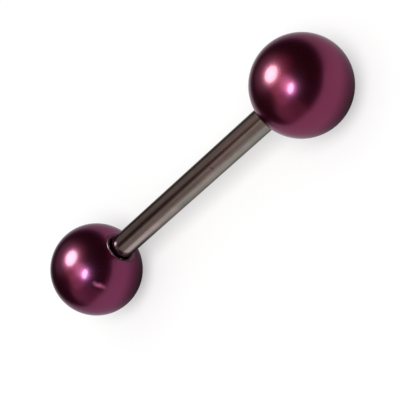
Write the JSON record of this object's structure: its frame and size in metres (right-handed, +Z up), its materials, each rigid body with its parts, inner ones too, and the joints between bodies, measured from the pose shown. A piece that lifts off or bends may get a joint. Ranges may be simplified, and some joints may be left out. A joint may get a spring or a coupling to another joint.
{
  "type": "tongue barbell",
  "caption": "Straight steel body jewellery barbell: a plain round post with a threaded stud at each end, closed by screw-on plum metal balls, worn through a tongue piercing.",
  "frame": {"origin": "on the resting surface, midway between the two balls, below the post's middle", "axes": "+X along the post towards the top ball, +Z up from the resting surface, +Y across"},
  "size_m": [0.0284, 0.0064, 0.0063],
  "materials": {
    "steel": "drawn and lightly polished surgical steel",
    "plum_metal": "glossy plum coating with a soft metallic sheen"
  },
  "bodies": {
    "post": {"post": "steel"},
    "top_ball": {"top_ball": "plum_metal"},
    "bottom_ball": {"bottom_ball": "plum_metal"}
  },
  "joints": [
    {"name": "top_ball_unscrew", "type": "slide", "parent": "post", "child": "top_ball", "axis": [1, 0, 0], "range_m": [0, 0.0045]},
    {"name": "bottom_ball_unscrew", "type": "slide", "parent": "post", "child": "bottom_ball", "axis": [-1, 0, 0], "range_m": [0, 0.0045]}
  ]
}
